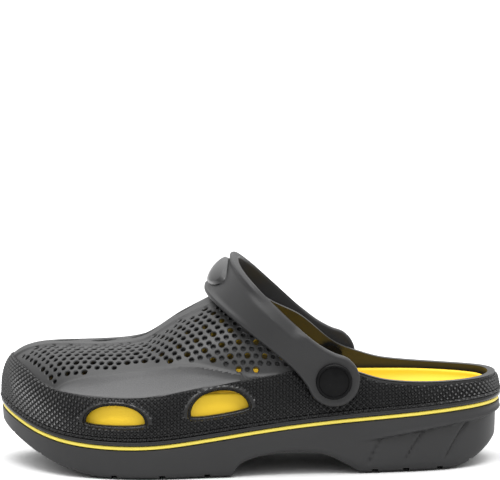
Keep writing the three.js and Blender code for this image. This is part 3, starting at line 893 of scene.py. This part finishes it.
def bed_bumps(x, y):
    """Low round bumps in slanting rows, strongest under the ball and the arch."""
    u, v = (x + y) / bumps_pitch * math.pi, (x - y) / bumps_pitch * math.pi
    rounds = np.clip(np.cos(u) * np.cos(v), 0, 1) ** 0.8
    strength = 0.45 + 0.55 * (1 - ease(x, 0.25 * half_length, 0.7 * half_length))
    return 0.95 * MM * rounds * strength


def bed_row(draw_in, z):
    ring = inset(bed_ring, draw_in)
    return np.c_[ring, z(ring[:, 0]) if callable(z) else z]


rows = []
base = inset(bed_ring, insole_gap + 2.2 * MM)
for share in (0.999, 0.75, 0.5, 0.25, 0.0):
    row = inward(base, share)
    rows.append(np.c_[row, insole_under(row[:, 0])])
rows.append(bed_row(insole_gap + 0.6 * MM, lambda x: insole_under(x) + 0.5 * MM))
rows.append(bed_row(insole_gap, lambda x: insole_under(x) + 2 * MM))
rows.append(bed_row(insole_gap, insole_floor))
for share in (0.35, 0.7):
    rows.append(bed_row(
        insole_gap + share * cup_lean,
        lambda x, share=share: insole_floor(x) + share * (cup_edge(x) - 1.5 * MM - insole_floor(x))))
for k in range(9):
    turn = math.pi * k / 8
    out = insole_gap + cup_lean + insole_wall / 2 * (1 - math.cos(turn))
    rows.append(bed_row(out, lambda x, up=math.sin(turn): cup_edge(x) - 1.5 * MM * (1 - up)))
for k in range(1, 13):
    # The inner wall runs down and rounds into the floor.
    turn = math.pi / 2 * k / 12
    out = insole_gap + insole_wall + cup_lean + 8 * MM * (1 - math.cos(turn))
    rows.append(bed_row(out, lambda x, up=math.sin(turn): cup_edge(x) - 1.5 * MM
                        - up * (cup_edge(x) - 1.5 * MM - insole_floor(x))))
bed = rows[-1]
for share in np.linspace(0, 0.999, 58)[1:]:
    row = inward(bed[:, :2], share)
    bumps = bed_bumps(row[:, 0], row[:, 1]) * ease(share, 0.0, 0.1)
    rows.append(np.c_[row, insole_floor(row[:, 0]) + bumps])
bed_bm = rows_mesh(rows)
bmesh.ops.holes_fill(bed_bm, edges=[e for e in bed_bm.edges if e.is_boundary])
bmesh.ops.recalc_face_normals(bed_bm, faces=bed_bm.faces)
foam = Finish("yellow foam")
mottle = foam.noise(14 * MM, 4.0)
cells = foam.node(
    "ShaderNodeTexVoronoi", {"feature": "F1"}, out="Distance", Vector=foam.place, Scale=1 / (0.5 * MM))
foam.set(
    Base_Color=foam.blend(mottle, (0.63, 0.40, 0.004, 1), (0.68, 0.46, 0.007, 1)),
    Roughness=0.55 + mottle * 0.16,
    Normal=foam.relief(cells, 0.04 * MM, 0.6, foam.relief(mottle, 0.1 * MM, 0.3)),
)
footbed = add_piece("yellow_footbed", bed_bm, foam.material, smooth=60)
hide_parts("insole")
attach(footbed, "shell")

# ------------ heel strap
# A moulded foam strap, one band from rivet to rivet. Round ends turn on the rivets, the
# legs narrow above them, and the crown is wide, with raised lips beside the badge.
strap_turn = math.radians(139.5)
pivot_x, pivot_z = 0.325 * half_length, 55 * MM
strap_low, strap_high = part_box("heel_strap")
strap_thick, leg_reach, end_radius = 5.5 * MM, 34 * MM, 14.9 * MM
strap_middle = (strap_low.y + strap_high.y) / 2
leg_half = (strap_high.y - strap_low.y) / 2 - strap_thick
crown_width = 26 * MM
crown_rise = strap_high.z - pivot_z + crown_width / 2 * math.cos(strap_turn)
crown_reach = crown_rise / math.sin(strap_turn) - strap_thick
squareness = 2.7


def lay_strap(reach, span, offset):
    """From the strap's own reach, span and offset to its place when it lies forward."""
    return np.stack([
        pivot_x + reach * math.cos(strap_turn) + offset * math.sin(strap_turn),
        strap_middle + span,
        pivot_z + reach * math.sin(strap_turn) - offset * math.cos(strap_turn),
    ], axis=-1)


tip_turn = np.linspace(0, math.radians(62), 12)
leg_stops = np.r_[-end_radius * np.cos(tip_turn), np.linspace(-5.5, 34, 26)[:-1] * MM]
arch_turn = np.linspace(-math.pi / 2, math.pi / 2, 110)
spine, outer_spine = [], []
for reach in leg_stops:
    spine.append((reach, -leg_half))
    outer_spine.append((reach, -leg_half - strap_thick))
for line, extra in ((spine, 0.0), (outer_spine, strap_thick)):
    for turn in arch_turn:
        rise = abs(math.cos(turn)) ** (2 / squareness)
        spread = math.copysign(abs(math.sin(turn)) ** (2 / squareness), turn)
        line.append((leg_reach + (crown_reach - leg_reach + extra) * rise, (leg_half + extra) * spread))
for reach in leg_stops[::-1]:
    spine.append((reach, leg_half))
    outer_spine.append((reach, leg_half + strap_thick))
spine, outer_spine = np.array(spine), np.array(outer_spine)
middle_run = np.r_[0, np.cumsum(np.linalg.norm(np.diff((spine + outer_spine) / 2, axis=0), axis=1))]
even = np.r_[middle_run[:12], np.linspace(middle_run[12], middle_run[-13], 230), middle_run[-12:]]
spine = np.c_[np.interp(even, middle_run, spine[:, 0]), np.interp(even, middle_run, spine[:, 1])]
outer_spine = np.c_[
    np.interp(even, middle_run, outer_spine[:, 0]), np.interp(even, middle_run, outer_spine[:, 1])]
reach_at = (spine[:, 0] + outer_spine[:, 0]) / 2
leg_run = np.minimum(even, even[-1] - even)
crown_share = ease(leg_run, 62 * MM, 118 * MM)
leg_widths = profile([
    (0, 30), (0.12, 29.8), (0.17, 24.5), (0.24, 20.4), (0.34, 19.6), (0.5, 21.6),
    (0.7, 24.6), (0.85, 26), (1, 26),
])
half_width = leg_widths(leg_run) / 2
disc = np.sqrt(np.clip(end_radius**2 - np.minimum(reach_at, 0) ** 2, 0, None))
neck = np.sqrt(np.clip(end_radius**2 - reach_at**2, 0, None))
half_width = np.where(reach_at < 0, disc, np.maximum(half_width, np.where(reach_at < end_radius, neck, 0)))
half_width = np.where((reach_at < 0) & (spine[:, 0] < 0), disc, half_width)
across = np.sin(np.linspace(-1, 1, 33) * math.pi / 2)


def rounded(from_edge, radius):
    """How far a face falls away near an edge that is rounded to this radius."""
    short = np.clip(radius - from_edge, 0, radius)
    return radius - np.sqrt(np.clip(radius**2 - short**2, 0, None))


rows = []
for j in range(len(even)):
    w = across * half_width[j]
    edge = half_width[j] - np.abs(w)
    if reach_at[j] < 0:
        edge = np.minimum(edge, end_radius - np.sqrt(reach_at[j] ** 2 + w**2))
    edge = np.clip(edge, 0, None)
    outer_drop = rounded(edge, 2.0 * MM)
    crown = crown_share[j]
    # Raised lips along the crown's edges, and a seat for the badge between them.
    outer_drop = outer_drop + 1.6 * MM * crown * ease(edge, 1.8 * MM, 4.4 * MM)
    # A flat facet along the rear edge of each leg, halfway up.
    facet = ease(leg_run[j], 42 * MM, 52 * MM) * (1 - ease(leg_run[j], 70 * MM, 88 * MM))
    rear = half_width[j] - w
    outer_drop = outer_drop + facet * np.clip(6.4 * MM - rear, 0, None) * 0.62
    inner_drop = rounded(edge, 1.3 * MM)
    top = 1 - np.clip(outer_drop / strap_thick, 0, 0.95)
    low_face = np.clip(inner_drop / strap_thick, 0, 0.95)
    low_face = np.minimum(low_face, top - 0.02)
    ring = []
    for shares_out, order in ((top, slice(None)), (low_face, slice(None, None, -1))):
        place = spine[j][None, :] + (outer_spine[j] - spine[j])[None, :] * shares_out[:, None]
        ring.append(lay_strap(place[:, 0], place[:, 1], w)[order])
    rows.append(np.vstack(ring))
strap_bm = rows_mesh(rows)
bmesh.ops.holes_fill(strap_bm, edges=[e for e in strap_bm.edges if e.is_boundary])
bmesh.ops.recalc_face_normals(strap_bm, faces=strap_bm.faces)
strap_foam = moulded_foam(
    "strap foam", (0.010, 0.010, 0.0104), (0.022, 0.022, 0.0225), 0.42, 0.6 * MM, 0.1 * MM)
strap = add_piece("heel_strap_band", strap_bm, strap_foam, smooth=28)
bore = bmesh.new()
bmesh.ops.create_cone(bore, cap_ends=True, segments=32, radius1=4.3 * MM, radius2=4.3 * MM, depth=0.2,
                      matrix=Matrix.Translation((pivot_x, 0, pivot_z)) @ Matrix.Rotation(math.pi / 2, 4, "X"))
cut_away(strap, bore)
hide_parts("heel_strap")
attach(strap, "strap")

# ------------ badge
# A blank, glossy, convex oval pad moulded in harder foam and bonded to the crown.
badge_long, badge_wide, badge_dome = 57 * MM, 18 * MM, 3.0 * MM


def on_crown(span, offset, extra):
    """A point over the crown: span along the arch, offset across, extra off its inner face."""
    reach = leg_reach + (crown_reach - leg_reach + extra) * (
        1 - (np.abs(span) / (leg_half + extra)) ** squareness) ** (1 / squareness)
    return lay_strap(reach, span, offset)


# Its rows go round from the hidden underside, up its edge and over the dome.
badge_rows = [(0.001, 3.0), (1.0, 3.0), (1.0, 4.4), (0.985, 5.0), (0.955, 5.35)]
badge_rows = [(share, extra * MM) for share, extra in badge_rows]
for turn in np.linspace(1.22, 0.001, 16):
    badge_rows.append((math.sin(turn), strap_thick + badge_dome * math.cos(turn) ** 1.15))
rows = []
for share, extra in badge_rows:
    oval = oval_ring(badge_long * share, badge_wide * share, 72)
    rows.append(on_crown(oval[:, 0], oval[:, 1], extra))
badge_bm = rows_mesh(rows)
bmesh.ops.holes_fill(badge_bm, edges=[e for e in badge_bm.edges if e.is_boundary])
bmesh.ops.recalc_face_normals(badge_bm, faces=badge_bm.faces)
gloss = Finish("badge gloss")
haze = gloss.noise(9 * MM, 3.0)
scuff = gloss.noise(0.5 * MM, 2.0)
gloss.set(
    Base_Color=gloss.blend(haze, (0.008, 0.008, 0.0085, 1), (0.018, 0.018, 0.0185, 1)),
    Roughness=0.26 + haze * 0.1 + (scuff - 0.5) * 0.08,
    Normal=gloss.relief(scuff, 0.015 * MM, 0.5),
    Coat_Weight=0.1,
    Specular_IOR_Level=0.35,
)
badge = add_piece("oval_badge", badge_bm, gloss.material, smooth=50)
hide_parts("strap_badge")
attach(badge, "strap")

# ------------ rivets
# Two-part plastic rivets hold the strap: a glossy black cap with a thin raised rim over
# each end, and a flanged shank behind it that passes through strap and upper.
rivet_gloss = Finish("rivet plastic")
swirl = rivet_gloss.noise(4 * MM, 3.0)
fleck = rivet_gloss.noise(0.4 * MM, 2.0)
rivet_gloss.set(
    Base_Color=rivet_gloss.blend(swirl, (0.002, 0.002, 0.0022, 1), (0.006, 0.006, 0.0062, 1)),
    Roughness=0.2 + swirl * 0.1,
    Specular_IOR_Level=0.06,
    Normal=rivet_gloss.relief(fleck, 0.01 * MM, 0.4),
)
for side, name in ((-1, "outer"), (1, "inner")):
    cap_low, cap_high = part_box("rivet_cap_" + name)
    seat = cap_high.y if side < 0 else cap_low.y
    radius, height = (cap_high.x - cap_low.x) / 2, cap_high.y - cap_low.y
    cap_bm = bmesh.new()
    outline = [(0, 0), (radius - 0.3 * MM, 0), (radius, 0.3 * MM), (radius, height * 0.55),
               (radius - 0.25 * MM, height * 0.8), (radius - 0.7 * MM, height * 0.95),
               (radius - 1.2 * MM, height), (radius - 1.6 * MM, height * 0.96),
               (radius - 1.85 * MM, height * 0.8), (radius - 2.0 * MM, height * 0.72),
               (radius - 2.3 * MM, height * 0.74), (radius * 0.6, height * 0.84),
               (radius * 0.3, height * 0.9), (0, height * 0.92)]
    verts = [cap_bm.verts.new((r, 0, h)) for r, h in outline]
    edges = [cap_bm.edges.new(pair) for pair in zip(verts, verts[1:])]
    bmesh.ops.spin(cap_bm, geom=verts + edges, cent=(0, 0, 0), axis=(0, 0, 1), angle=2 * math.pi,
                   steps=72, use_merge=True)
    bmesh.ops.remove_doubles(cap_bm, verts=cap_bm.verts, dist=1e-6)
    place = Matrix.Translation((pivot_x, seat, pivot_z)) @ Matrix.Rotation(-side * math.pi / 2, 4, "X")
    bmesh.ops.transform(cap_bm, verts=cap_bm.verts, matrix=place)
    bmesh.ops.recalc_face_normals(cap_bm, faces=cap_bm.faces)
    cap = add_piece("rivet_face_" + name, cap_bm, rivet_gloss.material, smooth=40)
    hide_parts("rivet_cap_" + name)
    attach(cap, "shell")
    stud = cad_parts["rivet_stud_" + name]
    stud.data.materials.clear()
    stud.data.materials.append(rivet_gloss.material)

# ------------ studio
# A plain pale floor, soft light from above and behind, and a long lens from the side.
floor_bm = bmesh.new()
bmesh.ops.create_grid(floor_bm, x_segments=1, y_segments=1, size=7)
paper = Finish("pale paper")
paper.set(Base_Color=(0.64, 0.64, 0.64, 1), Roughness=0.95, Specular_IOR_Level=0.0)
floor = add_piece("floor", floor_bm, paper.material)
floor.data.transform(Matrix.Translation((0, 0, -0.0002)))
floor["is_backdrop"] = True

scene = bpy.context.scene
scene.view_settings.view_transform = "Standard"
# The sky is bright overhead and dim at the horizon, like a big overhead softbox.
sky = bpy.data.worlds.new("studio")
sky.use_nodes = True
sky_nodes = sky.node_tree.nodes
way_up = sky_nodes.new("ShaderNodeSeparateXYZ")
steep = sky_nodes.new("ShaderNodeMath")
steep.operation = "POWER"
steep.inputs[1].default_value = 1.6
level = sky_nodes.new("ShaderNodeMapRange")
level.inputs["To Min"].default_value = 0.65
level.inputs["To Max"].default_value = 3.1
direction = sky_nodes.new("ShaderNodeTexCoord")
for start, end in (
    (direction.outputs["Generated"], way_up.inputs[0]), (way_up.outputs["Z"], steep.inputs[0]),
    (steep.outputs[0], level.inputs["Value"]),
    (level.outputs["Result"], sky_nodes["Background"].inputs["Strength"]),
):
    sky.node_tree.links.new(start, end)
sky_nodes["Background"].inputs["Color"].default_value = (1, 1, 1, 1)
scene.world = sky


def soft_light(name, place, towards, size, power):
    lamp = bpy.data.lights.new(name, "AREA")
    lamp.shape = "RECTANGLE"
    lamp.size, lamp.size_y = size
    lamp.energy = power
    light = bpy.data.objects.new(name, lamp)
    light.location = place
    light.rotation_euler = (Vector(towards) - Vector(place)).to_track_quat("-Z", "Y").to_euler()
    scene.collection.objects.link(light)


middle = (cad_low + cad_high) / 2
soft_light("top light", (0.0, 0.15, 1.6), middle, (2.2, 1.2), 9)
soft_light("front light", (-0.7, -1.3, 1.1), middle, (0.8, 0.6), 2)
soft_light("strip light", (-0.1, -0.75, 1.45), middle, (1.1, 0.2), 12)

lens_data = bpy.data.cameras.new("camera")
camera = bpy.data.objects.new("camera", lens_data)
scene.collection.objects.link(camera)
scene.camera = camera
elevation, camera_distance, across_view = math.radians(7), 2.2, 0.2885
lens_data.sensor_width = 36
lens_data.lens = 36 * camera_distance / across_view
lens_data.clip_start, lens_data.clip_end = 0.1, 40
aim = Vector((-0.0005, plan_middle, 0.1300))
away = Vector((0, -math.cos(elevation), math.sin(elevation)))
camera.location = aim + away * camera_distance
camera.rotation_euler = (-away).to_track_quat("-Z", "Y").to_euler()

low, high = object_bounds()
